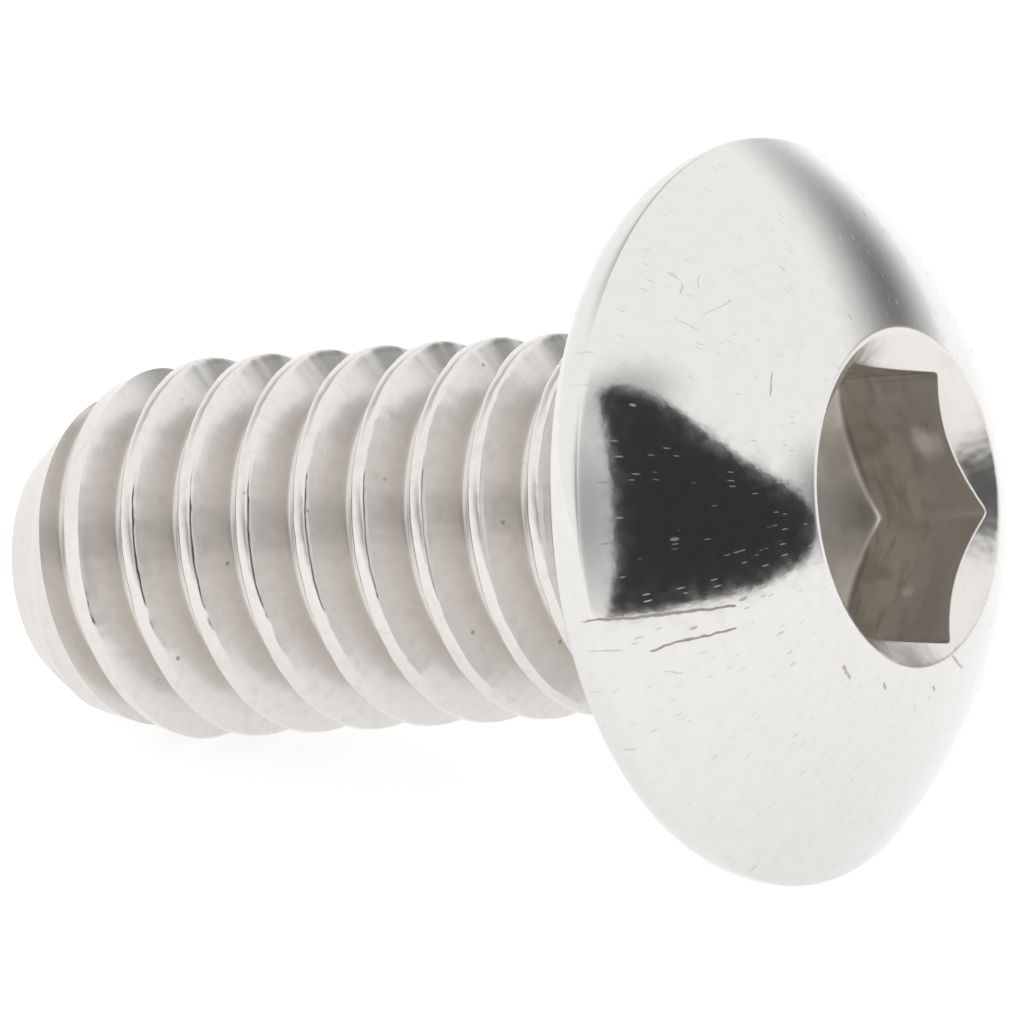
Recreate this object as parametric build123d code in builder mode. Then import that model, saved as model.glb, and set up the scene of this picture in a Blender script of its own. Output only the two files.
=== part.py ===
from build123d import *
import os
from math import asin, atan2, cos, degrees, hypot, radians, sin, sqrt, tan

# Button head screw, M4 x 8, in millimetres.
# It is drawn upright, with its axis on Z and the underside of its head at height 0,
# and is then laid down on the rim of its head and the last full crest of its thread.

# Shank and thread
thread_diameter = 3.86
thread_pitch = 0.7
flank_angle = 60
crest_flat = 0.125
root_flat = 0.085
screw_length = 8.06

# Bevelled point, a hair off centre, and the low crests of the first turns behind it
point_diameter = 2.53
point_length = 0.58
point_offset = 0.09
point_offset_turn = 161.5
taper_length = 0.82
taper_depth = 0.24

# Neck between the head and the thread
neck_length = 0.375
runout_length = 0.4
neck_fillet = 0.15

# Head
head_diameter = 7.436
rim_height = 0.42
rim_taper = 0.154
dome_radius = 4.75
seat_edge_radius = 0.06
rim_edge_radius = 0.06

# Hex socket and the countersink at its mouth
socket_across_flats = 2.69
socket_depth = 1.34
socket_floor_angle = 130
socket_turn = 67.5
countersink_diameter = 3.35
countersink_angle = 105
countersink_offset = 0.07
countersink_offset_turn = -7.6

# How far the screw is turned about its own axis as it lies
resting_turn = 181.6

# Worked out from the sizes above
thread_radius = thread_diameter / 2
point_radius = point_diameter / 2
shoulder_radius = thread_radius - taper_depth
flank_lean = tan(radians(flank_angle / 2))
thread_depth = (thread_pitch - crest_flat - root_flat) / 2 / flank_lean
core_radius = thread_radius - thread_depth

head_radius = head_diameter / 2
seat_radius = head_radius - rim_taper
rim_radius = (rim_height**2 + rim_taper**2) / (2 * rim_taper)
dome_centre = rim_height - sqrt(dome_radius**2 - head_radius**2)
dome_top = dome_centre + dome_radius

countersink_radius = countersink_diameter / 2
mouth_height = dome_centre + sqrt(dome_radius**2 - countersink_radius**2)
countersink_lean = tan(radians(countersink_angle / 2))
corner_radius = socket_across_flats / sqrt(3)
floor_height = mouth_height - socket_depth
floor_tip = floor_height - corner_radius / tan(radians(socket_floor_angle / 2))

# The screw rests on the rounded side of its rim and on the last full crest
support_rise = head_radius - rim_radius - thread_radius
support_span = screw_length - point_length - taper_length + rim_height
support_length = hypot(support_rise, support_span)
resting_tilt = degrees(atan2(support_rise, support_span) + asin(rim_radius / support_length))

# Cutting tools reach this far past the surface that they cut
overcut = 0.1

# Punch that forms the socket: a hexagonal bar with a conical end
with BuildPart() as punch:
    with BuildSketch(Plane.XY.offset(floor_tip).rotated((0, 0, socket_turn))):
        RegularPolygon(radius=corner_radius, side_count=6)
    extrude(amount=dome_top + overcut - floor_tip)
    with BuildSketch(Plane.XZ):
        with BuildLine():
            Polyline(
                (0, floor_tip),
                (corner_radius + overcut, floor_height + overcut / tan(radians(socket_floor_angle / 2))),
                (corner_radius + overcut, dome_top + overcut),
                (0, dome_top + overcut),
                close=True,
            )
        make_face()
    revolve(axis=Axis.Z, mode=Mode.INTERSECT)

# Countersink at the mouth of the socket, a hair off centre as the punch left it
with BuildPart() as countersink:
    with BuildSketch(Plane.XZ):
        with BuildLine():
            Polyline(
                (0, mouth_height - countersink_radius / countersink_lean),
                (countersink_radius, mouth_height),
                (countersink_radius + overcut * countersink_lean, mouth_height + overcut),
                (countersink_radius + overcut * countersink_lean, dome_top + overcut),
                (0, dome_top + overcut),
                close=True,
            )
        make_face()
    revolve(axis=Axis.Z)

# Ring that the bevel of the point takes off
bevel_lean = point_length / (shoulder_radius - point_radius)
bevel_outside = thread_radius + point_offset + overcut
with BuildPart() as bevel_ring:
    with BuildSketch(Plane.XZ):
        with BuildLine():
            Polyline(
                (point_radius - overcut / bevel_lean, -screw_length - overcut),
                (bevel_outside, -screw_length - overcut),
                (bevel_outside, (bevel_outside - point_radius) * bevel_lean - screw_length),
                close=True,
            )
        make_face()
    revolve(axis=Axis.Z)

# Shank: a plain round blank that runs up into the head by one pitch
with BuildPart() as screw:
    with BuildSketch(Plane.XY.offset(-screw_length)):
        Circle(thread_radius)
    extrude(amount=screw_length + thread_pitch)

    # Thread: a right-handed groove. It starts one pitch beyond the point, so that it
    # runs in through the end, and its last edge stops where the neck begins.
    groove_depth = thread_depth + overcut
    root_half = root_flat / 2
    mouth_half = root_half + groove_depth * flank_lean
    groove_start = -screw_length - thread_pitch
    groove_end = mouth_half - neck_length
    with BuildLine():
        groove_path = Helix(
            pitch=thread_pitch,
            height=groove_end - groove_start,
            radius=core_radius,
            center=(0, 0, groove_start),
        )
    with BuildSketch(Plane(origin=groove_path @ 0, x_dir=(1, 0, 0), z_dir=(0, -1, 0))):
        with BuildLine():
            Polyline(
                (0, -root_half),
                (groove_depth, -mouth_half),
                (groove_depth, mouth_half),
                (0, root_half),
                close=True,
            )
        make_face()
    sweep(path=groove_path, is_frenet=True, mode=Mode.SUBTRACT)

    # The first turns behind the point have low crests, under a slender cone
    taper_lean = taper_length / taper_depth
    taper_outside = thread_radius + overcut
    with BuildSketch(Plane.XZ):
        with BuildLine():
            Polyline(
                (shoulder_radius - point_length / taper_lean, -screw_length),
                (taper_outside, -screw_length),
                (taper_outside, point_length + taper_length + overcut * taper_lean - screw_length),
                close=True,
            )
        make_face()
    revolve(axis=Axis.Z, mode=Mode.SUBTRACT)

    # Point: the bevel ring is taken off across the end
    point_direction = radians(point_offset_turn)
    with Locations((point_offset * cos(point_direction), point_offset * sin(point_direction))):
        add(bevel_ring.part, mode=Mode.SUBTRACT)

    # Head and neck: one half section turned about the axis. The cone at the foot of
    # the neck fills the groove, so that the thread fades out under the head.
    with BuildSketch(Plane.XZ) as head_section:
        with BuildLine():
            Polyline(
                (0, dome_top),
                (0, -neck_length - runout_length),
                (core_radius, -neck_length - runout_length),
                (thread_radius, -neck_length),
                (thread_radius, 0),
                (seat_radius, 0),
            )
            TangentArc((head_radius, rim_height), (seat_radius, 0), tangent=(0, -1))
            RadiusArc((head_radius, rim_height), (0, dome_top), -dome_radius)
        make_face()
        inner_corner = head_section.vertices().sort_by_distance((thread_radius, 0))[0]
        fillet(inner_corner, neck_fillet)
        seat_edge = head_section.vertices().sort_by_distance((seat_radius, 0))[0]
        fillet(seat_edge, seat_edge_radius)
        rim_edge = head_section.vertices().sort_by_distance((head_radius, rim_height))[0]
        fillet(rim_edge, rim_edge_radius)
    revolve(axis=Axis.Z)

    # Socket and countersink, pressed into the dome
    offset_direction = radians(countersink_offset_turn)
    add(punch.part, mode=Mode.SUBTRACT)
    with Locations((countersink_offset * cos(offset_direction), countersink_offset * sin(offset_direction))):
        add(countersink.part, mode=Mode.SUBTRACT)

# Laid down: turned about its axis, tipped until rim and thread touch the ground, and
# moved so that the ground is at height 0 with the middle of the outline over the origin
with BuildPart() as tipped:
    add(screw.part, rotation=(0, 90 - resting_tilt, resting_turn))
outline = tipped.part.bounding_box()

with BuildPart() as button_head_screw:
    with Locations((-outline.center().X, -outline.center().Y, -outline.min.Z)):
        add(tipped.part)
button_head_screw.part.label = "button_head_screw"

os.makedirs("parts", exist_ok=True)
export_step(button_head_screw.part, "parts/button_head_screw.step")
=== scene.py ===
# %% [markdown]
# # A stainless button head screw
# The screw is a cold-headed, thread-rolled M4 screw that lies on a pale floor, held up by
# the rim of its head and by the last full crest of its thread. This notebook loads its
# solid model, builds a finer mesh of the same sizes for the eye, gives it a polished steel
# finish with its small marks, and lights it softly.

# %% Load the imported model
from math import asin, atan2, cos, degrees, hypot, pi, radians, sin, sqrt, tan
import bmesh
import bpy
from mathutils import Matrix, Vector, noise
from mathutils.bvhtree import BVHTree


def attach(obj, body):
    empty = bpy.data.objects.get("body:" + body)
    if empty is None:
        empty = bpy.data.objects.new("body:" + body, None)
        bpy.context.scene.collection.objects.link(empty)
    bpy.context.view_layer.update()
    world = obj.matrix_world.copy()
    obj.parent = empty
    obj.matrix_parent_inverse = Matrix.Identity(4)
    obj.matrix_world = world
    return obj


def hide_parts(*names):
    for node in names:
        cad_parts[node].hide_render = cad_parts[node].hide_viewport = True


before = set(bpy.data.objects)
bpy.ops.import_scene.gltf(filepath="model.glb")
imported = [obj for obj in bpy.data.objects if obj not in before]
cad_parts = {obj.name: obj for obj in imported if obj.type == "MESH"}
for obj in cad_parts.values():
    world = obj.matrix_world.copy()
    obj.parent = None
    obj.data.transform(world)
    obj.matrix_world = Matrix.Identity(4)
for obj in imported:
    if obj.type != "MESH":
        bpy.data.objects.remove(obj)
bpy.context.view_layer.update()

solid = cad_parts["button_head_screw"]

# %% [markdown]
# ## The sizes of the screw
# On the bench the screw is measured upright, with its axis on Z and the underside of its
# head at height 0. The same is done here, in millimetres, so that every number can be
# checked against a drawing. Only at the very end is the finished mesh laid down, and that
# is where millimetres become the metres of the scene.

# %% Shank and thread
millimetre = 0.001

thread_radius = 1.93
pitch = 0.7
flank_angle = 60
crest_flat = 0.125
root_flat = 0.085
flank_lean = tan(radians(flank_angle / 2))
thread_depth = (pitch - crest_flat - root_flat) / 2 / flank_lean
core_radius = thread_radius - thread_depth

screw_length = 8.06
point_radius = 1.265
point_length = 0.58
point_offset = 0.09
point_direction = radians(161.5)
taper_length = 0.82
taper_depth = 0.24
shoulder_radius = thread_radius - taper_depth

neck_length = 0.375
runout_length = 0.4
neck_fillet = 0.15
print("thread depth", round(thread_depth, 4), "core radius", round(core_radius, 4))

# %% Head and socket
head_radius = 3.718
rim_height = 0.42
rim_taper = 0.154
seat_radius = head_radius - rim_taper
rim_radius = (rim_height**2 + rim_taper**2) / (2 * rim_taper)
dome_radius = 4.75
dome_centre = rim_height - sqrt(dome_radius**2 - head_radius**2)

mouth_radius = 1.675
mouth_angle = 105
mouth_shift = 0.07
mouth_direction = radians(-7.6)
mouth_height = dome_centre + sqrt(dome_radius**2 - mouth_radius**2)
mouth_lean = tan(radians(mouth_angle / 2))
mouth_offset = Vector((mouth_shift * cos(mouth_direction), mouth_shift * sin(mouth_direction)))

across_flats = 2.69
hex_corner = across_flats / sqrt(3)
hex_turn = radians(67.5)
socket_depth = 1.34
floor_angle = 130
floor_height = mouth_height - socket_depth
floor_lean = tan(radians(floor_angle / 2))
floor_tip = floor_height - hex_corner / floor_lean
print("mouth height", round(mouth_height, 4), "floor's corners at", round(floor_height, 4))

# %% [markdown]
# ## How the screw lies
# A screw that is put down rolls until the rim of its head and a crest of its thread
# touch the ground. The solid model holds that pose, so one matrix takes the upright
# bench position to the lying one: a turn about its own axis, a tip to the side, and a
# move to the place where the underside of the head sits.

# %% Lying position
seat_centre = Vector((2.9159, 0.0, 3.51854))
resting_tilt = 14.331918
resting_turn = 181.6
turned_about = Matrix.Rotation(radians(resting_turn), 4, "Z")
tipped_over = Matrix.Rotation(radians(90 - resting_tilt), 4, "Y")
roll = tipped_over @ turned_about
lie_down = Matrix.Scale(millimetre, 4) @ Matrix.Translation(seat_centre) @ roll
print("axis of the lying screw", [round(c, 4) for c in roll @ Vector((0, 0, 1))])

# %% [markdown]
# ## The camera
# The photograph was taken with a long lens from above the head's side, so a small object
# looks almost free of perspective. The camera is set first, because every later choice
# is judged through it. It stands about 17 cm away and looks down at 21 degrees.

# %% Camera
look_azimuth = 30.835946
look_elevation = 20.974933
seat_in_view = Vector((2.337937, 0.015187, 170.535766))
focal_pixels = 17184.8784
image_pixels = 1024
sensor_width = 36


def direction(azimuth, elevation):
    """The way from the screw to a place in the room. Azimuth 0 is the near side, 90 the head's side."""
    a, e = radians(azimuth), radians(elevation)
    return Vector((sin(a) * cos(e), -cos(a) * cos(e), sin(e)))


to_camera = direction(look_azimuth, look_elevation)
to_right = Vector((cos(radians(look_azimuth)), sin(radians(look_azimuth)), 0))
to_top = to_camera.cross(to_right)
eye = (seat_centre - seat_in_view.x * to_right
       + seat_in_view.y * to_top + seat_in_view.z * to_camera)

lens = bpy.data.cameras.new("camera")
lens.sensor_fit = "HORIZONTAL"
lens.sensor_width = sensor_width
lens.lens = focal_pixels * sensor_width / image_pixels
lens.clip_start = 0.01
lens.clip_end = 10
camera = bpy.data.objects.new("camera", lens)
facing = Matrix((to_right, to_top, to_camera)).transposed().to_4x4()
camera.matrix_world = Matrix.Translation(eye * millimetre) @ facing
bpy.context.scene.collection.objects.link(camera)
bpy.context.scene.camera = camera
print("camera stands", round(eye.length, 1), "mm from the origin, lens", round(lens.lens, 1), "mm")

# %% [markdown]
# ## The thread, rolled flat
# A thread is rolled between two flat dies whose grooves lie at the lead angle. It can be
# modelled the same way: one pitch of the outline is drawn as a wire, repeated along the
# shank, and pushed sideways through one turn while it climbs by one pitch. On this flat
# strip X is the angle in radians, Y the height on the shank and Z the radius. A cone
# about the axis is a flat plane on the strip, so the bevelled point and the run-out are
# plain cuts, sharp to the last vertex. Each flank gets a support row near either end, so
# that its shading stays flat up to the rounded crest and root.

# %% One pitch of the outline, repeated
groove_start = -screw_length - pitch
crest_round = 0.035
root_round = 0.04
support_gap = 0.08
half_root = root_flat / 2
foot = half_root + thread_depth * flank_lean

strip = bmesh.new()
corners = []
# from one turn below the groove's start to one above the neck, which the cuts then trim
for turn in range(-1, 13):
    middle = groove_start + turn * pitch
    corners.append((middle - half_root, core_radius))
    corners.append((middle + half_root, core_radius))
    corners.append((middle + foot, thread_radius))
    corners.append((middle + pitch - foot, thread_radius))
points = [strip.verts.new((0, y, r)) for y, r in corners]
for first, second in zip(points, points[1:]):
    strip.edges.new((first, second))
crests = [v for v in points[1:-1] if v.co.z > thread_radius - 1e-6]
roots = [v for v in points[1:-1] if v.co.z < core_radius + 1e-6]
for some, reach in ((crests, crest_round), (roots, root_round)):
    bmesh.ops.bevel(strip, geom=some, offset=reach, offset_type="OFFSET", segments=3,
                    profile=0.5, affect="VERTICES", material=-1)
flanks = [e for e in strip.edges if e.calc_length() > thread_depth / 2]
for flank in flanks:
    low_end, high_end = flank.verts
    new_vertex = bmesh.utils.edge_split(flank, low_end, support_gap)[1]
    upper = next(e for e in new_vertex.link_edges if e.other_vert(new_vertex) == high_end)
    bmesh.utils.edge_split(upper, high_end, support_gap)
print("outline of the thread:", len(strip.verts), "points on", len(flanks), "flanks")

# %% [markdown]
# ## Through one turn
# The wire is now pushed sideways in small steps, as the blank rolls past the dies, and
# each step leaves a row of faces behind. The helper hands back the new vertices and the
# new run of edges, so that the next step can start from them.

# %% Push the outline through one turn
steps_around = 240


def pull_out(mesh, edges):
    """Extrude a run of edges, and return the new vertices and the new run."""
    grown = bmesh.ops.extrude_edge_only(mesh, edges=edges)["geom"]
    fresh = [part for part in grown if isinstance(part, bmesh.types.BMVert)]
    ahead = set(fresh)
    run = [part for part in grown if isinstance(part, bmesh.types.BMEdge)]
    return fresh, [e for e in run if e.verts[0] in ahead and e.verts[1] in ahead]


front = list(strip.edges)
for _ in range(steps_around):
    moved, front = pull_out(strip, front)
    bmesh.ops.translate(strip, verts=moved, vec=(2 * pi / steps_around, pitch / steps_around, 0))
print("flat strip:", len(strip.faces), "faces")

# %% [markdown]
# ## Point and run-out
# The blank's end is tapered before rolling, so the crests near it stay low, and the very
# end is bevelled a hair off centre. Where the dies stop under the head, the groove runs
# out on another cone. Each cone is a bisecting plane on the flat strip. What stands above
# a cone of the point is pressed down onto it, and what lies below the run-out is filled.

# %% Cut the cones on the flat strip


def split(plane_point, plane_normal, clear_outer=False):
    """Cut the whole strip by a plane, and clear what is beyond it if asked."""
    whole_strip = list(strip.verts) + list(strip.edges) + list(strip.faces)
    bmesh.ops.bisect_plane(strip, geom=whole_strip, dist=1e-6, plane_co=plane_point,
                           plane_no=plane_normal, clear_outer=clear_outer)


def cut_plane(low, high, fill=False):
    """Split the strip by the cone through two (height, radius) points, then trim or fill it."""
    along = Vector((0, high[0] - low[0], high[1] - low[1])).normalized()
    split((0, low[0], low[1]), (0, -along.z, along.y))
    slope = (high[1] - low[1]) / (high[0] - low[0])
    for v in strip.verts:
        cone = low[1] + (v.co.y - low[0]) * slope
        if fill and v.co.z < cone and v.co.y > low[0] - 1e-6:
            v.co.z = cone
        if not fill and v.co.z > cone:
            v.co.z = cone


def lean_point(share):
    """Shift the radii as the off-centre point does, so that its cone is a plane on the strip."""
    for v in strip.verts:
        v.co.z += share * point_offset * cos(v.co.x - point_direction)


shoulder = -screw_length + point_length
split((0, -screw_length, 0), (0, -1, 0), clear_outer=True)
split((0, -neck_length, 0), (0, 1, 0), clear_outer=True)
cut_plane((shoulder, shoulder_radius), (shoulder + taper_length, thread_radius))
cut_plane((-neck_length - runout_length, core_radius), (-neck_length, thread_radius), fill=True)
lean_point(-1)
cut_plane((-screw_length, point_radius), (shoulder, shoulder_radius))
lean_point(1)
print("trimmed strip:", len(strip.faces), "faces")

# %% [markdown]
# ## Wrap the strip round the shank
# Each vertex of the strip knows its angle, height and radius, so wrapping is one line of
# trigonometry. A rolled crest is never a clean line: the metal folds over it unevenly, so
# the crests wander by a few microns first. The noise that moves them is a fixed one, with
# the same value at the same place in every run. Then the two ends of the strip lie on
# each other and are merged.

# %% Wrap and merge
crest_band = 0.06
calm_under_head = 0.3
slow_wander = 0.012
quick_wander = 0.006
crest_wear = 0.005
seam_gap = 8e-4

for v in strip.verts:
    angle, height, radius = v.co
    place = Vector((radius * cos(angle), radius * sin(angle), height))
    if radius > thread_radius - crest_band and height < -neck_length - calm_under_head:
        height += slow_wander * noise.noise(place * 3.1) + quick_wander * noise.noise(place * 11.0)
        radius -= crest_wear * abs(noise.noise(place * 6.3))
    v.co = Vector((radius * cos(angle), radius * sin(angle), height))
bmesh.ops.remove_doubles(strip, verts=strip.verts, dist=seam_gap)
# merging can pull a vertex off the flat ends, so those near an end go back onto it
for v in strip.verts:
    for end_height in (-screw_length, -neck_length):
        if abs(v.co.z - end_height) < 1e-3:
            v.co.z = end_height
print("wrapped shank:", len(strip.faces), "faces")

# %% [markdown]
# ## The flat end
# The blank was sheared off, so the point ends in a small flat face. Its open ring is
# pulled inwards in a few steps, the first of them close to the edge to keep it crisp,
# and the last one closes it.

# %% Close the end


def rim_at(mesh, height):
    """The open edges of a mesh that lie at one height."""
    level = {v for v in mesh.verts if abs(v.co.z - height) < 1e-4}
    return [e for e in mesh.edges if e.is_boundary and e.verts[0] in level and e.verts[1] in level]


end_centre = Vector((point_offset * cos(point_direction), point_offset * sin(point_direction), -screw_length))
ring = rim_at(strip, -screw_length)
for shrink in (0.98, 0.9, 0.5, 0.001):
    inner, ring = pull_out(strip, ring)
    bmesh.ops.scale(strip, verts=inner, vec=(shrink, shrink, 1), space=Matrix.Translation(-end_centre))
bmesh.ops.remove_doubles(strip, verts=inner, dist=0.01)
shank = strip
print("shank:", len(shank.faces), "faces,", len([e for e in shank.edges if e.is_boundary]),
      "open edges at the neck")

# %% [markdown]
# ## The head, turned from its outline
# The head is a body of revolution except for its socket. Its outline is drawn as a wire:
# straight runs are single moves, and arcs are made by the Spin operator on one point.
# Every point of the wire carries a ring number, which survives the full spin, so the
# rings inside the mouth can be found again and shaped into the hexagon. Both edges of the
# rim are rounded by a short bevel, as the tumbling drum leaves them.

# %% Outline of the head
neck_gap = 0.01
seat_edge_bevel = 0.028
rim_edge_bevel = 0.021

turned = bmesh.new()
ring_number = turned.verts.layers.int.new("ring")


def line_to(tip, r, z, runs=1):
    """Carry the outline on to a point, in one or more runs."""
    start = tip.co.copy()
    for run in range(1, runs + 1):
        tip = bmesh.ops.extrude_vert_indiv(turned, verts=[tip])["verts"][0]
        tip.co = start.lerp(Vector((r, 0, z)), run / runs)
    return tip


def arc_to(tip, centre, sweep, runs):
    """Carry the outline on by an arc about a centre, in degrees, anticlockwise in the section."""
    spun = bmesh.ops.spin(turned, geom=[tip], cent=(centre[0], 0, centre[1]), axis=(0, -1, 0),
                          angle=radians(sweep), steps=runs, use_duplicate=False)
    return [part for part in spun["geom_last"] if isinstance(part, bmesh.types.BMVert)][0]


rim_sweep = degrees(atan2(rim_height, seat_radius - head_radius + rim_radius))
dome_start = degrees(asin(head_radius / dome_radius))
dome_end = degrees(asin(mouth_radius / dome_radius))

tip = turned.verts.new((thread_radius, 0, -neck_length + neck_gap))
tip = line_to(tip, thread_radius, -neck_fillet, 3)
tip = arc_to(tip, (thread_radius + neck_fillet, -neck_fillet), -90, 6)
seat_edge = line_to(tip, seat_radius, 0, 8)
rim_edge = arc_to(seat_edge, (head_radius - rim_radius, rim_height), rim_sweep, 10)
tip = arc_to(rim_edge, (0, dome_centre), dome_start - dome_end, 44)
for corner, reach in ((seat_edge, seat_edge_bevel), (rim_edge, rim_edge_bevel)):
    bmesh.ops.bevel(turned, geom=[corner], offset=reach, offset_type="OFFSET", segments=4,
                    profile=0.5, affect="VERTICES", material=-1)
print("dome runs from", round(dome_start, 1), "to", round(dome_end, 1), "degrees off the axis")

# %% [markdown]
# ## The socket
# The socket is punched: a hexagonal punch with a conical nose goes in, and a countersink
# breaks its mouth. Seen from above, every ring of it is star-shaped about the axis, so it
# can be spun with the head and then each ring moved out to the countersink, the hexagon
# or the cone of the floor. This keeps the faces of dome, mouth and walls in one mesh.

# %% Rings of the socket
mouth_rings = 5
wall_rings = 8
floor_rings = 12
mouth_edge = 1
wall_edge = mouth_edge + mouth_rings
floor_edge = wall_edge + wall_rings
head_slot, socket_slot = 1, 2

# the radii and heights here only keep the rings apart until they are shaped
tip[ring_number] = mouth_edge
count = mouth_edge
for runs, r, z in ((mouth_rings, 1.45, 1.6), (wall_rings, 1.44, 0.5), (floor_rings, 0.0, 0.0)):
    for run in range(runs):
        left = runs - run
        tip = line_to(tip, tip.co.x + (r - tip.co.x) / left, tip.co.z + (z - tip.co.z) / left)
        count += 1
        tip[ring_number] = count
outline = list(turned.verts) + list(turned.edges)
bmesh.ops.spin(turned, geom=outline, cent=(0, 0, 0), axis=(0, 0, 1), angle=2 * pi,
               steps=steps_around, use_merge=True, use_duplicate=False)
for face in turned.faces:
    in_socket = min(v[ring_number] for v in face.verts) >= mouth_edge
    face.material_index = socket_slot if in_socket else head_slot
print("spun head:", len(turned.faces), "faces,", count, "socket rings")

# %% [markdown]
# ## From rings to hexagon
# Three small formulas say where a ring belongs: how far the hexagon's wall is at an
# angle, how high the countersink is over a point, and where that countersink meets the
# dome. The last has no short formula, so it is found by halving an interval. The dome's
# own rings near the mouth lean with it, because the countersink is a hair off centre.

# %% Where the socket's faces are
corner_round = 0.08


def hexagon(angle):
    """Distance from the axis to the hexagon's wall, with its six corners rounded."""
    off_corner = (angle - hex_turn + pi / 6) % (pi / 3) - pi / 6
    flat = hex_corner * cos(pi / 6) / cos(pi / 6 - abs(off_corner))
    centre = hex_corner - 2 * corner_round / sqrt(3)
    side = centre * sin(off_corner)
    if abs(side) < corner_round / 2:
        rounded = centre * cos(off_corner) + sqrt(corner_round**2 - side**2)
        return min(flat, rounded)
    return flat


def countersink(r, angle):
    """Height of the countersink's cone over a point of the plan."""
    away = (Vector((r * cos(angle), r * sin(angle))) - mouth_offset).length
    return mouth_height + (away - mouth_radius) / mouth_lean


def mouth(angle):
    """Distance from the axis to where the countersink meets the dome."""
    low, high = 1.3, 2.0
    for _ in range(30):
        middle = (low + high) / 2
        dome = dome_centre + sqrt(dome_radius**2 - middle**2)
        low, high = (middle, high) if countersink(middle, angle) < dome else (low, middle)
    return low


print("mouth is", round(mouth(0), 3), "to", round(mouth(pi), 3), "mm from the axis")

# %% Shape the rings
lean_ends = 3.6

for v in turned.verts:
    number = v[ring_number]
    angle = atan2(v.co.y, v.co.x)
    reach = hypot(v.co.x, v.co.y)
    if number == 0 and v.co.z > rim_height and mouth_radius < reach < lean_ends:
        share = ((lean_ends - reach) / (lean_ends - mouth_radius))**2
        r = reach + (mouth(angle) - mouth_radius) * share
        z = dome_centre + sqrt(dome_radius**2 - r**2)
    elif number == 0:
        continue
    elif number <= wall_edge:
        outer, wall = mouth(angle), hexagon(angle)
        r = outer + (wall - outer) * (number - mouth_edge) / mouth_rings
        z = countersink(r, angle)
    elif number <= floor_edge:
        share = (number - wall_edge) / wall_rings
        r = hexagon(angle)
        top = countersink(r, angle)
        z = top + (floor_tip + r / floor_lean - top) * share
    else:
        share = (number - floor_edge) / floor_rings
        r = hexagon(angle) * (1 - share)
        z = floor_tip + r / floor_lean
    v.co = Vector((r * cos(angle), r * sin(angle), z))
bmesh.ops.remove_doubles(turned, verts=turned.verts, dist=1e-5)
print("shaped head:", len(turned.faces), "faces")

# %% [markdown]
# ## Soften the edges
# No punched edge is a perfect line. The rings where dome, countersink, walls and floor
# meet are bevelled by a few hundredths of a millimetre, which is what catches the light.

# %% Bevel the socket's edges
mouth_bevel = 0.03
wall_bevel = 0.02
floor_bevel = 0.05


def ring_edges(number):
    """The edges that run round one ring of the socket."""
    return [e for e in turned.edges if all(v[ring_number] == number for v in e.verts)]


for number, reach in ((mouth_edge, mouth_bevel), (wall_edge, wall_bevel), (floor_edge, floor_bevel)):
    bmesh.ops.bevel(turned, geom=ring_edges(number), offset=reach, offset_type="OFFSET", segments=3,
                    profile=0.5, affect="EDGES", material=-1, loop_slide=True)
print("head with soft edges:", len(turned.faces), "faces")

# %% [markdown]
# ## One closed screw
# Shank and head are brought into one mesh and bridged round the neck. Then normals are
# made to point outwards, and only then is the mesh laid down in metres.

# %% Join and lay down
sharp_from = 38

carrier = bpy.data.meshes.new("carrier")
whole = bmesh.new()
for part in (shank, turned):
    part.to_mesh(carrier)
    whole.from_mesh(carrier)
bpy.data.meshes.remove(carrier)
bmesh.ops.bridge_loops(whole, edges=rim_at(whole, -neck_length) + rim_at(whole, -neck_length + neck_gap))
bmesh.ops.remove_doubles(whole, verts=whole.verts, dist=1e-5)
bmesh.ops.recalc_face_normals(whole, faces=whole.faces)
print("open edges left:", len([e for e in whole.edges if not e.is_manifold]),
      "volume", round(whole.calc_volume(), 2), "mm3")

screw_mesh = bpy.data.meshes.new("screw")
whole.to_mesh(screw_mesh)
screw_mesh.transform(lie_down)
screw_mesh.shade_smooth()
screw_mesh.set_sharp_from_angle(angle=radians(sharp_from))
screw = bpy.data.objects.new("screw", screw_mesh)
bpy.context.scene.collection.objects.link(screw)
print("screw:", len(screw_mesh.polygons), "faces,",
      sum(len(p.vertices) - 2 for p in screw_mesh.polygons), "triangles")

# %% [markdown]
# ## Check it against the solid
# The mesh is only a better looking copy of the solid, so it must not stray from it. A
# BVH tree finds the nearest point of the solid for every vertex, and the furthest one is
# printed.

# %% Measure the new mesh against the solid
gauge = bmesh.new()
gauge.from_mesh(solid.data)
solid_faces = BVHTree.FromBMesh(gauge)
gap, index = max((solid_faces.find_nearest(v.co)[3], v.index) for v in screw_mesh.vertices)
print("furthest point from the solid", round(gap / millimetre, 4), "mm at",
      [round(c / millimetre, 2) for c in screw_mesh.vertices[index].co])

# %% [markdown]
# ## Wiring materials
# Every finish below is a small circuit of nodes, and a few helpers keep the circuits
# short. The first adds any node and wires it, and the others add a sum, a soft step from
# one number to another, or a mix of two colours.

# %% Helpers for any circuit


def put(tree, kind, wires, out=0, **settings):
    """Add a node, set it up, give each input a number or a wire, and return one output."""
    new = tree.nodes.new(kind)
    for name, value in settings.items():
        setattr(new, name, value)
    for name, value in wires.items():
        if isinstance(value, bpy.types.NodeSocket):
            tree.links.new(value, new.inputs[name])
        else:
            new.inputs[name].default_value = value
    return new.outputs[out]


def sums(tree, operation, first, second=0.0):
    """One step of arithmetic."""
    return put(tree, "ShaderNodeMath", {0: first, 1: second}, operation=operation)


def step(tree, value, low, high, to_low=0.0, to_high=1.0):
    """Fade from one number to another while a value runs from low to high."""
    wires = {"Value": value, "From Min": low, "From Max": high, "To Min": to_low, "To Max": to_high}
    return put(tree, "ShaderNodeMapRange", wires, interpolation_type="SMOOTHSTEP")


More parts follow.
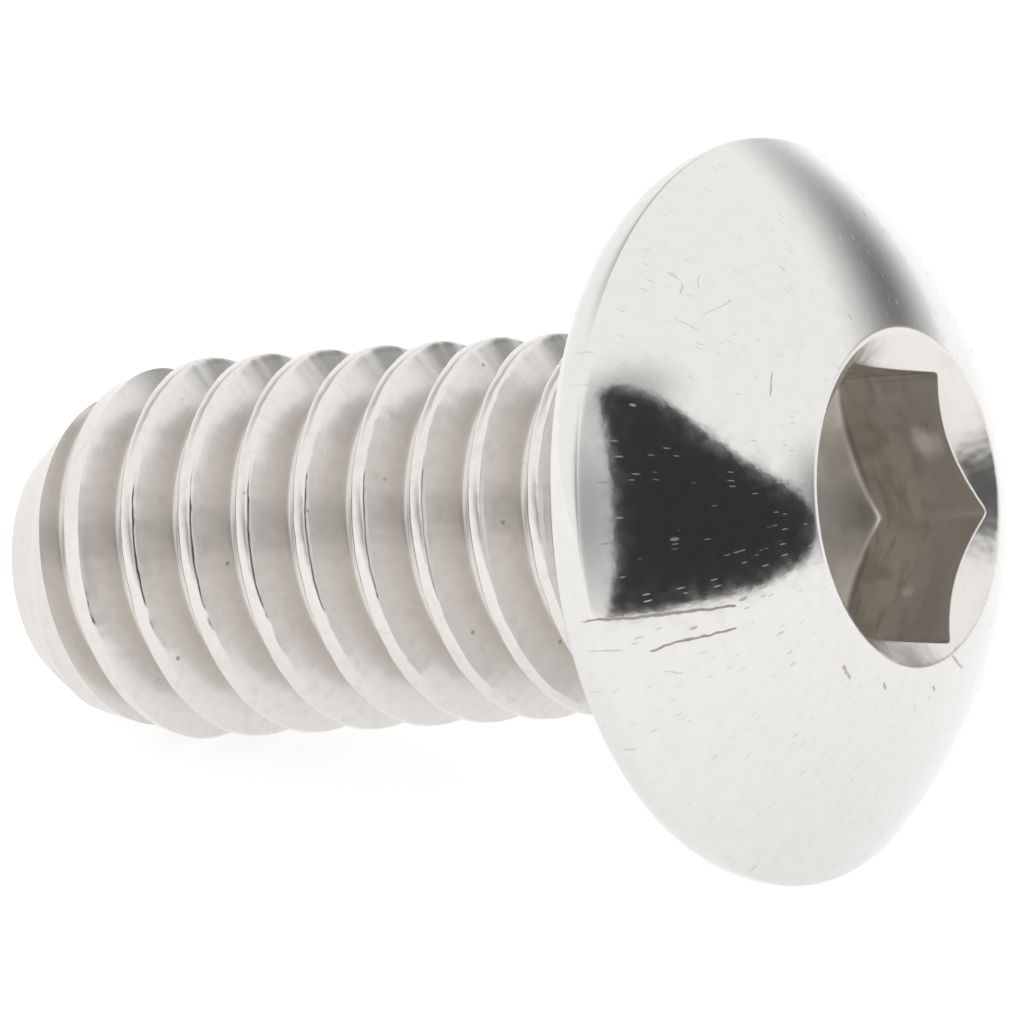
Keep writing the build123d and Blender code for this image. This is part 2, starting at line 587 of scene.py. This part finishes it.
def blend(tree, share, first, second):
    """Mix two colours."""
    wires = {0: share, 6: first, 7: second}
    return put(tree, "ShaderNodeMix", wires, out=2, data_type="RGBA")


def stain(tree, tint, where, strength, colour):
    """Lay a colour over a tint, where a mask is 1 and as strongly as told."""
    return blend(tree, sums(tree, "MULTIPLY", where, strength), tint, colour)


# %% [markdown]
# ## Places on the metal
# All patterns are measured on the screw itself, upright and in millimetres, so they stay
# on the metal whatever the camera does. A Mapping node of type Texture undoes the lying
# pose. From that place come the height on the axis and the distance from it.

# %% Helpers for places and steels


def bench_place(tree):
    """The place on the upright screw, in millimetres."""
    here = put(tree, "ShaderNodeTexCoord", {}, out=3)
    wires = {
        "Vector": here,
        "Location": seat_centre * millimetre,
        "Rotation": roll.to_euler("XYZ"),
        "Scale": (millimetre, millimetre, millimetre),
    }
    return put(tree, "ShaderNodeMapping", wires, vector_type="TEXTURE")


def part_of(tree, place, number):
    """One number of a place: 0 is X, 1 is Y and 2 is the height on the axis."""
    return put(tree, "ShaderNodeSeparateXYZ", {0: place}, out=number)


def plan_of(tree, place):
    """The place with its height left out."""
    return put(tree, "ShaderNodeVectorMath", {0: place, 1: (1, 1, 0)}, operation="MULTIPLY")


def length_of(tree, vector):
    """How long a vector is. For a place in plan, that is its distance from the axis."""
    return put(tree, "ShaderNodeVectorMath", {0: vector}, out=1, operation="LENGTH")


def cloud(tree, place, scale, detail=2.0, stretch=(1, 1, 1)):
    """A soft noise, between 0 and 1."""
    spot = put(tree, "ShaderNodeVectorMath", {0: place, 1: stretch}, operation="MULTIPLY")
    return put(tree, "ShaderNodeTexNoise", {"Vector": spot, "Scale": scale, "Detail": detail})


def steel(name):
    """An empty steel, with its circuit and its shader."""
    material = bpy.data.materials.new(name)
    material.use_nodes = True
    shader = material.node_tree.nodes["Principled BSDF"]
    shader.inputs["Metallic"].default_value = 1
    screw_mesh.materials.append(material)
    return material.node_tree, shader


def bump(tree, shader, height, depth):
    """Raise the surface by a height between 0 and 1, times a depth in millimetres."""
    wires = {"Height": height, "Distance": depth * millimetre, "Strength": 1.0}
    tree.links.new(put(tree, "ShaderNodeBump", wires), shader.inputs["Normal"])


print("patterns are measured from", [round(c, 3) for c in seat_centre], "mm along the screw's axis")

# %% [markdown]
# ## The thread's steel
# Rolled flanks are smooth but not mirrors: the dies leave faint streaks that follow the
# helix. So the streaks are a noise that is stretched round the shank, and the tint darkens
# towards the root. A few pits are the cells of a Voronoi pattern, kept only where another
# noise is high.

# %% Rolled thread
root_tint = (0.66, 0.635, 0.60, 1)
crest_tint = (0.735, 0.715, 0.69, 1)
grime_tint = (0.45, 0.42, 0.38, 1)
pit_tint = (0.22, 0.19, 0.16, 1)
streak_depth = 0.0006

tree, shader = steel("rolled_thread")
place = bench_place(tree)
reach = length_of(tree, plan_of(tree, place))
height = part_of(tree, place, 2)
streaks = cloud(tree, put(tree, "ShaderNodeCombineXYZ", {0: reach, 1: height, 2: 0.0}), 26.0, 1.0)
grain = cloud(tree, place, 8.0, 2.0)
pits = put(tree, "ShaderNodeTexVoronoi", {"Vector": place, "Scale": 5.0})
pit = step(tree, pits, 0.16, 0.06)
pit = sums(tree, "MULTIPLY", pit, step(tree, cloud(tree, place, 2.6, 0.0), 0.62, 0.7))
tint = blend(tree, step(tree, reach, core_radius + 0.02, thread_radius - 0.08), root_tint, crest_tint)
tint = stain(tree, tint, step(tree, grain, 0.45, 0.75), 0.16, grime_tint)
tint = stain(tree, tint, pit, 0.6, pit_tint)
tree.links.new(tint, shader.inputs["Base Color"])
gloss = step(tree, reach, thread_radius - 0.1, thread_radius - 0.02, 0.26, 0.15)
gloss = sums(tree, "ADD", gloss, sums(tree, "MULTIPLY", pit, 0.25))
tree.links.new(gloss, shader.inputs["Roughness"])
bump(tree, shader, streaks, streak_depth)
print("rolled thread:", len(tree.nodes), "nodes")

# %% [markdown]
# ## Marks on the dome
# What tells steel from chrome is its wear: short ticks that run up and down the dome, a
# few nicks, and two long hairline cracks where the metal flowed in the die. A mark
# scatters light, so it shows dark where the dome mirrors white and pale where it mirrors
# black. That is why a mark is a rougher and duller steel and not a painted line. The long
# ones and the largest nicks are listed one by one, as seen from above the head and in
# millimetres: where each starts, where it ends, its width and its strength.

# %% Marks listed one by one
marks = [
    ((0.21, 3.79), (0.09, 3.40), 0.022, 0.9),
    ((0.09, 3.40), (-0.09, 2.66), 0.022, 0.9),
    ((-0.27, 3.36), (-0.26, 3.15), 0.022, 0.9),
    ((-0.26, 3.15), (-0.32, 2.70), 0.022, 0.9),
    ((-0.09, 3.80), (-0.19, 3.57), 0.012, 0.5),
    ((-0.52, 3.30), (-0.58, 3.16), 0.012, 0.45),
    ((2.89, 1.33), (2.80, 1.44), 0.012, 0.45),
    ((2.88, 1.54), (2.81, 1.63), 0.012, 0.45),
    ((2.57, 1.60), (2.59, 1.25), 0.011, 0.4),
    ((2.63, 1.86), (2.45, 1.76), 0.011, 0.4),
    ((1.86, 1.40), (1.68, 1.55), 0.014, 0.7),
    ((-1.12, 1.63), (-1.27, 1.55), 0.030, 0.7),
    ((-1.51, 1.08), (-1.55, 1.06), 0.030, 0.8),
    ((-1.84, 0.24), (-1.88, 0.21), 0.030, 0.8),
    ((-1.58, -0.03), (-1.86, -0.37), 0.026, 0.7),
]


def hairline(tree, place, first, last, width, strength):
    """A thin mark from one point to another, as strong as told on its line and 0 beside it."""
    first, last = Vector((*first, 0)), Vector((*last, 0))
    along = (last - first).normalized()
    from_first = put(tree, "ShaderNodeVectorMath", {0: place, 1: first}, operation="SUBTRACT")
    run = put(tree, "ShaderNodeVectorMath", {0: from_first, 1: along}, out=1, operation="DOT_PRODUCT")
    run = put(tree, "ShaderNodeClamp", {"Value": run, "Min": 0.0, "Max": (last - first).length})
    foot_point = put(tree, "ShaderNodeVectorMath", {0: along, "Scale": run}, operation="SCALE")
    gap = put(tree, "ShaderNodeVectorMath", {0: from_first, 1: foot_point}, out=1, operation="DISTANCE")
    return step(tree, gap, width * 0.8, width * 0.25, 0.0, strength)


def tick_field(tree, around, reach, cell_width, cell_length, thick, rarity):
    """Short ticks that run up the dome: the hearts of long cells, of which only some are kept."""
    across = sums(tree, "DIVIDE", around, cell_width)
    along = sums(tree, "DIVIDE", reach, cell_length)
    polar = put(tree, "ShaderNodeCombineXYZ", {0: across, 1: along, 2: 0.0})
    cells = tree.nodes.new("ShaderNodeTexVoronoi")
    tree.links.new(polar, cells.inputs["Vector"])
    cells.inputs["Scale"].default_value = 1.0
    chosen = step(tree, cells.outputs["Color"], rarity, rarity + 0.03)
    heart = step(tree, cells.outputs["Distance"], thick, thick * 0.5)
    return sums(tree, "MULTIPLY", heart, chosen)


print(len(marks), "marks by hand")

# %% [markdown]
# ## The head's steel
# The dome is tumbled to a soft mirror, a little uneven in gloss. The listed marks are
# read at a place that a noise has moved slightly, so that none of them is ruled straight.
# They fade out at the rim, and two fields of ticks, broad and fine, cover the whole head.

# %% Polished head
bright_tint = (0.735, 0.722, 0.705, 1)
dull_tint = (0.715, 0.70, 0.682, 1)
mark_tint = (0.27, 0.24, 0.21, 1)
bend = (0.045, 0.045, 0.0)
ripple_depth = 0.0003

tree, shader = steel("polished_head")
place = bench_place(tree)
plan = plan_of(tree, place)
reach = length_of(tree, plan)
turn = sums(tree, "ARCTAN2", part_of(tree, place, 1), part_of(tree, place, 0))
around = sums(tree, "MULTIPLY", turn, 2.8)
grain = cloud(tree, place, 7.0, 2.0)
ripple = cloud(tree, place, 14.0, 1.0)

drift = put(tree, "ShaderNodeTexNoise", {"Vector": place, "Scale": 9.0, "Detail": 1.0}, out=1)
drift = put(tree, "ShaderNodeVectorMath", {0: drift, 1: (0.5, 0.5, 0.5)}, operation="SUBTRACT")
bent = put(tree, "ShaderNodeVectorMath", {0: drift, 1: bend, 2: plan}, operation="MULTIPLY_ADD")
worn = 0.0
for first, last, width, strength in marks:
    worn = sums(tree, "MAXIMUM", worn, hairline(tree, bent, first, last, width, strength))
worn = sums(tree, "MULTIPLY", worn, step(tree, part_of(tree, place, 2), 0.25, 0.4))

ticks = 0.0
for cell_width, cell_length, thick, rarity, strength in (
    (0.16, 0.34, 0.15, 0.64, 0.55),
    (0.05, 0.24, 0.19, 0.35, 0.45),
):
    tick = tick_field(tree, around, reach, cell_width, cell_length, thick, rarity)
    ticks = sums(tree, "MAXIMUM", ticks, sums(tree, "MULTIPLY", tick, strength))
worn = sums(tree, "MAXIMUM", worn, sums(tree, "MULTIPLY", ticks, 0.6))

tint = blend(tree, step(tree, grain, 0.35, 0.75), bright_tint, dull_tint)
tint = stain(tree, tint, worn, 0.75, mark_tint)
tree.links.new(tint, shader.inputs["Base Color"])
rough_marks = sums(tree, "MULTIPLY", sums(tree, "MAXIMUM", worn, ticks), 0.5)
gloss = sums(tree, "ADD", step(tree, grain, 0.3, 0.8, 0.08, 0.13), rough_marks)
tree.links.new(gloss, shader.inputs["Roughness"])
bump(tree, shader, ripple, ripple_depth)
print("polished head:", len(tree.nodes), "nodes")

# %% [markdown]
# ## The socket's steel
# Nothing polishes the inside of the socket. The punch smears the walls, and dried oil and
# oxide collect on the floor and in the corners. The steel there turns browner with depth,
# grain and stains lie on it in soft-edged patches, and the floor is the darkest. Two
# spots on the walls carry a painted reflection of the mouth's light: a paler and rougher steel.

# %% Punched socket
mouth_tint = (0.74, 0.72, 0.69, 1)
deep_tint = (0.87, 0.835, 0.785, 1)
stain_tint = (0.46, 0.405, 0.34, 1)
grain_tint = (0.38, 0.335, 0.285, 1)
floor_tint = (0.36, 0.33, 0.285, 1)
# pale colour of the painted reflection of the mouth's light on the walls
painted_reflection_tint = (0.95, 0.92, 0.87, 1)
smear_depth = 0.006

tree, shader = steel("punched_socket")
place = bench_place(tree)
height = part_of(tree, place, 2)
grain = cloud(tree, place, 7.0, 3.0, (0.35, 0.35, 1))
blots = cloud(tree, place, 2.2, 2.0)
deep = step(tree, height, mouth_height - 0.3, floor_height + 0.35)
on_floor = step(tree, height, floor_height + 0.02, floor_height - 0.04)
# two spots on the walls get a painted reflection of the lit mouth: a pale tint and a rougher steel
painted_reflection = 0.0
for spot, size in (((0.195, -1.331, 1.367), 0.34), ((-1.147, -0.715, 1.136), 0.2)):
    gap = put(tree, "ShaderNodeVectorMath", {0: place, 1: spot}, out=1, operation="DISTANCE")
    edge = sums(tree, "ADD", gap, sums(tree, "MULTIPLY", grain, 0.2))
    painted_reflection = sums(tree, "MAXIMUM", painted_reflection, step(tree, edge, size, size * 0.5))

tint = blend(tree, deep, mouth_tint, deep_tint)
deep_stain = sums(tree, "MULTIPLY", deep, 0.45)
tint = stain(tree, tint, step(tree, blots, 0.46, 0.62), deep_stain, stain_tint)
deep_grain = step(tree, deep, 0.0, 1.0, 0.12, 0.45)
tint = stain(tree, tint, step(tree, grain, 0.48, 0.7), deep_grain, grain_tint)
tint = stain(tree, tint, on_floor, 0.6, floor_tint)
# painted reflection of the mouth's light on the two wall spots
tint = stain(tree, tint, painted_reflection, 0.9, painted_reflection_tint)
tree.links.new(tint, shader.inputs["Base Color"])
gloss = sums(tree, "ADD", step(tree, deep, 0.0, 1.0, 0.27, 0.3), sums(tree, "MULTIPLY", on_floor, 0.2))
gloss = sums(tree, "ADD", gloss, sums(tree, "MULTIPLY", painted_reflection, 0.35))
tree.links.new(gloss, shader.inputs["Roughness"])
bump(tree, shader, cloud(tree, place, 6.0, 1.0, (1, 1, 0.3)), smear_depth)
print("punched socket:", len(tree.nodes), "nodes")

# %% [markdown]
# ## Floor and light
# The photograph has a white ground without a visible shadow, as on a lit table, so the
# paper of the floor glows a little by itself. The world is an even white tent that lights
# the screw from all sides. The floor isn't sampled as a lamp, so the render stays quick.

# %% Floor and world
floor_size = 1.5
floor_colour = (0.3, 0.3, 0.3, 1)
floor_glow = (0.8, 0.8, 0.8, 1)
tent_light = 1.12

floor_mesh = bpy.data.meshes.new("floor")
paper = bmesh.new()
bmesh.ops.create_grid(paper, x_segments=1, y_segments=1, size=floor_size)
paper.to_mesh(floor_mesh)
floor = bpy.data.objects.new("floor", floor_mesh)
bpy.context.scene.collection.objects.link(floor)
pale = bpy.data.materials.new("pale_paper")
pale.use_nodes = True
shader = pale.node_tree.nodes["Principled BSDF"]
shader.inputs["Base Color"].default_value = floor_colour
shader.inputs["Roughness"].default_value = 0.9
shader.inputs["Emission Color"].default_value = floor_glow
shader.inputs["Emission Strength"].default_value = 1
pale.cycles.emission_sampling = "NONE"
floor_mesh.materials.append(pale)

world = bpy.data.worlds.new("light_tent")
world.use_nodes = True
world.node_tree.nodes["Background"].inputs["Color"].default_value = (1, 1, 1, 1)
world.node_tree.nodes["Background"].inputs["Strength"].default_value = tent_light
bpy.context.scene.world = world
bpy.context.scene.view_settings.view_transform = "Standard"
print("tent of strength", tent_light, "over a floor of", 2 * floor_size, "metres")

# %% [markdown]
# ## Cards
# A mirror shows the room and not itself, so a photographer shapes metal with cards. These
# are seen only by mirrors, and neither by the camera nor by the floor. One is cut from
# black card and makes the dark patch on the dome. The others are oval veils that let part
# of the tent's light through, least in their middle. Where two veils overlap they darken
# twice, as tinted glass does, and they never hide a card behind them.

# %% Helpers for cards
room_centre = Vector((3.5, 0, 4.2))


def hang(name, mesh, place):
    """Hang a card where it is seen by mirrors and by nothing else."""
    piece = bpy.data.objects.new(name, mesh)
    piece.matrix_world = place
    bpy.context.scene.collection.objects.link(piece)
    piece.visible_camera = False
    piece.visible_diffuse = False
    piece.visible_shadow = False


def glow(name, mesh, brightness):
    """A card's paint, which may give off light but takes none."""
    paint = bpy.data.materials.new(name)
    paint.use_nodes = True
    shader = paint.node_tree.nodes["Principled BSDF"]
    shader.inputs["Base Color"].default_value = (0, 0, 0, 1)
    shader.inputs["Specular IOR Level"].default_value = 0
    shader.inputs["Emission Color"].default_value = (brightness, brightness, brightness, 1)
    shader.inputs["Emission Strength"].default_value = 1
    mesh.materials.append(paint)
    paint.cycles.emission_sampling = "NONE"
    return paint.node_tree, shader


def card(name, outline, distance, brightness):
    """A cut-out card, its corners given by azimuth and elevation."""
    sheet = bmesh.new()
    sheet.faces.new([sheet.verts.new(direction(*corner) * distance) for corner in outline])
    mesh = bpy.data.meshes.new(name)
    sheet.to_mesh(mesh)
    glow(name, mesh, brightness)
    hang(name, mesh, Matrix.Scale(millimetre, 4) @ Matrix.Translation(room_centre))


def soft_card(name, azimuth, elevation, half_width, half_height, distance, darkest):
    """An oval veil that lets only part of the tent's light through, least in its middle."""
    sheet = bmesh.new()
    bmesh.ops.create_circle(sheet, cap_ends=True, segments=48, radius=1)
    mesh = bpy.data.meshes.new(name)
    sheet.to_mesh(mesh)
    tree, shader = glow(name, mesh, 0.0)
    away = length_of(tree, put(tree, "ShaderNodeTexCoord", {}, out=3))
    tree.links.new(step(tree, away, 0.0, 0.97, 1 - darkest, 0.0), shader.inputs["Alpha"])
    way = direction(azimuth, elevation)
    turn = way.to_track_quat("Z", "Y").to_matrix().to_4x4()
    size = Matrix.Diagonal((distance * tan(radians(half_width)), distance * tan(radians(half_height)), 1, 1))
    middle = room_centre + way * distance
    hang(name, mesh, Matrix.Scale(millimetre, 4) @ Matrix.Translation(middle) @ turn @ size)


print("cards hang round", [round(c, 1) for c in room_centre], "mm")

# %% [markdown]
# ## Where the cards hang
# Where a card belongs is found by asking what a spot of the metal mirrors towards the
# camera. The black card's corners are directions, azimuth and elevation in degrees, and
# follow the edge of the patch. A veil has the direction of its middle, half its width and
# half its height in degrees, its distance in millimetres, and the share of light that is
# left in its middle.

# %% Hang the cards
patch_outline = [
    (46, -4), (49, 10), (51, 30), (53, 52), (60, 53), (66, 51),
    (72, 48), (78, 42), (83, 35), (89, 27), (96, 20), (101, 15),
    (104, 7), (99, 1), (85, -1), (66, -1), (55, -2),
]
card("black_card", patch_outline, 150, 0.04)

veils = [
    ("side_fringe", 107, 10, 13, 17, 155, 0.25),
    ("top_fringe", 63, 50, 20, 11, 156, 0.5),
    ("far_grey", 166, 13.5, 40, 20, 160, 0.2),
    ("near_grey", -8, 24, 50, 26, 170, 0.42),
    ("lens_grey", 43, 24, 20, 36, 165, 0.45),
    ("left_grey", -122, 45, 42, 22, 175, 0.5),
]
for name, azimuth, elevation, half_width, half_height, distance, darkest in veils:
    soft_card(name, azimuth, elevation, half_width, half_height, distance, darkest)
print("one black card and", len(veils), "veils")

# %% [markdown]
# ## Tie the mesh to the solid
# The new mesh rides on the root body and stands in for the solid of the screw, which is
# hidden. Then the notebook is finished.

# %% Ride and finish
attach(screw, "root")
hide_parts("button_head_screw")
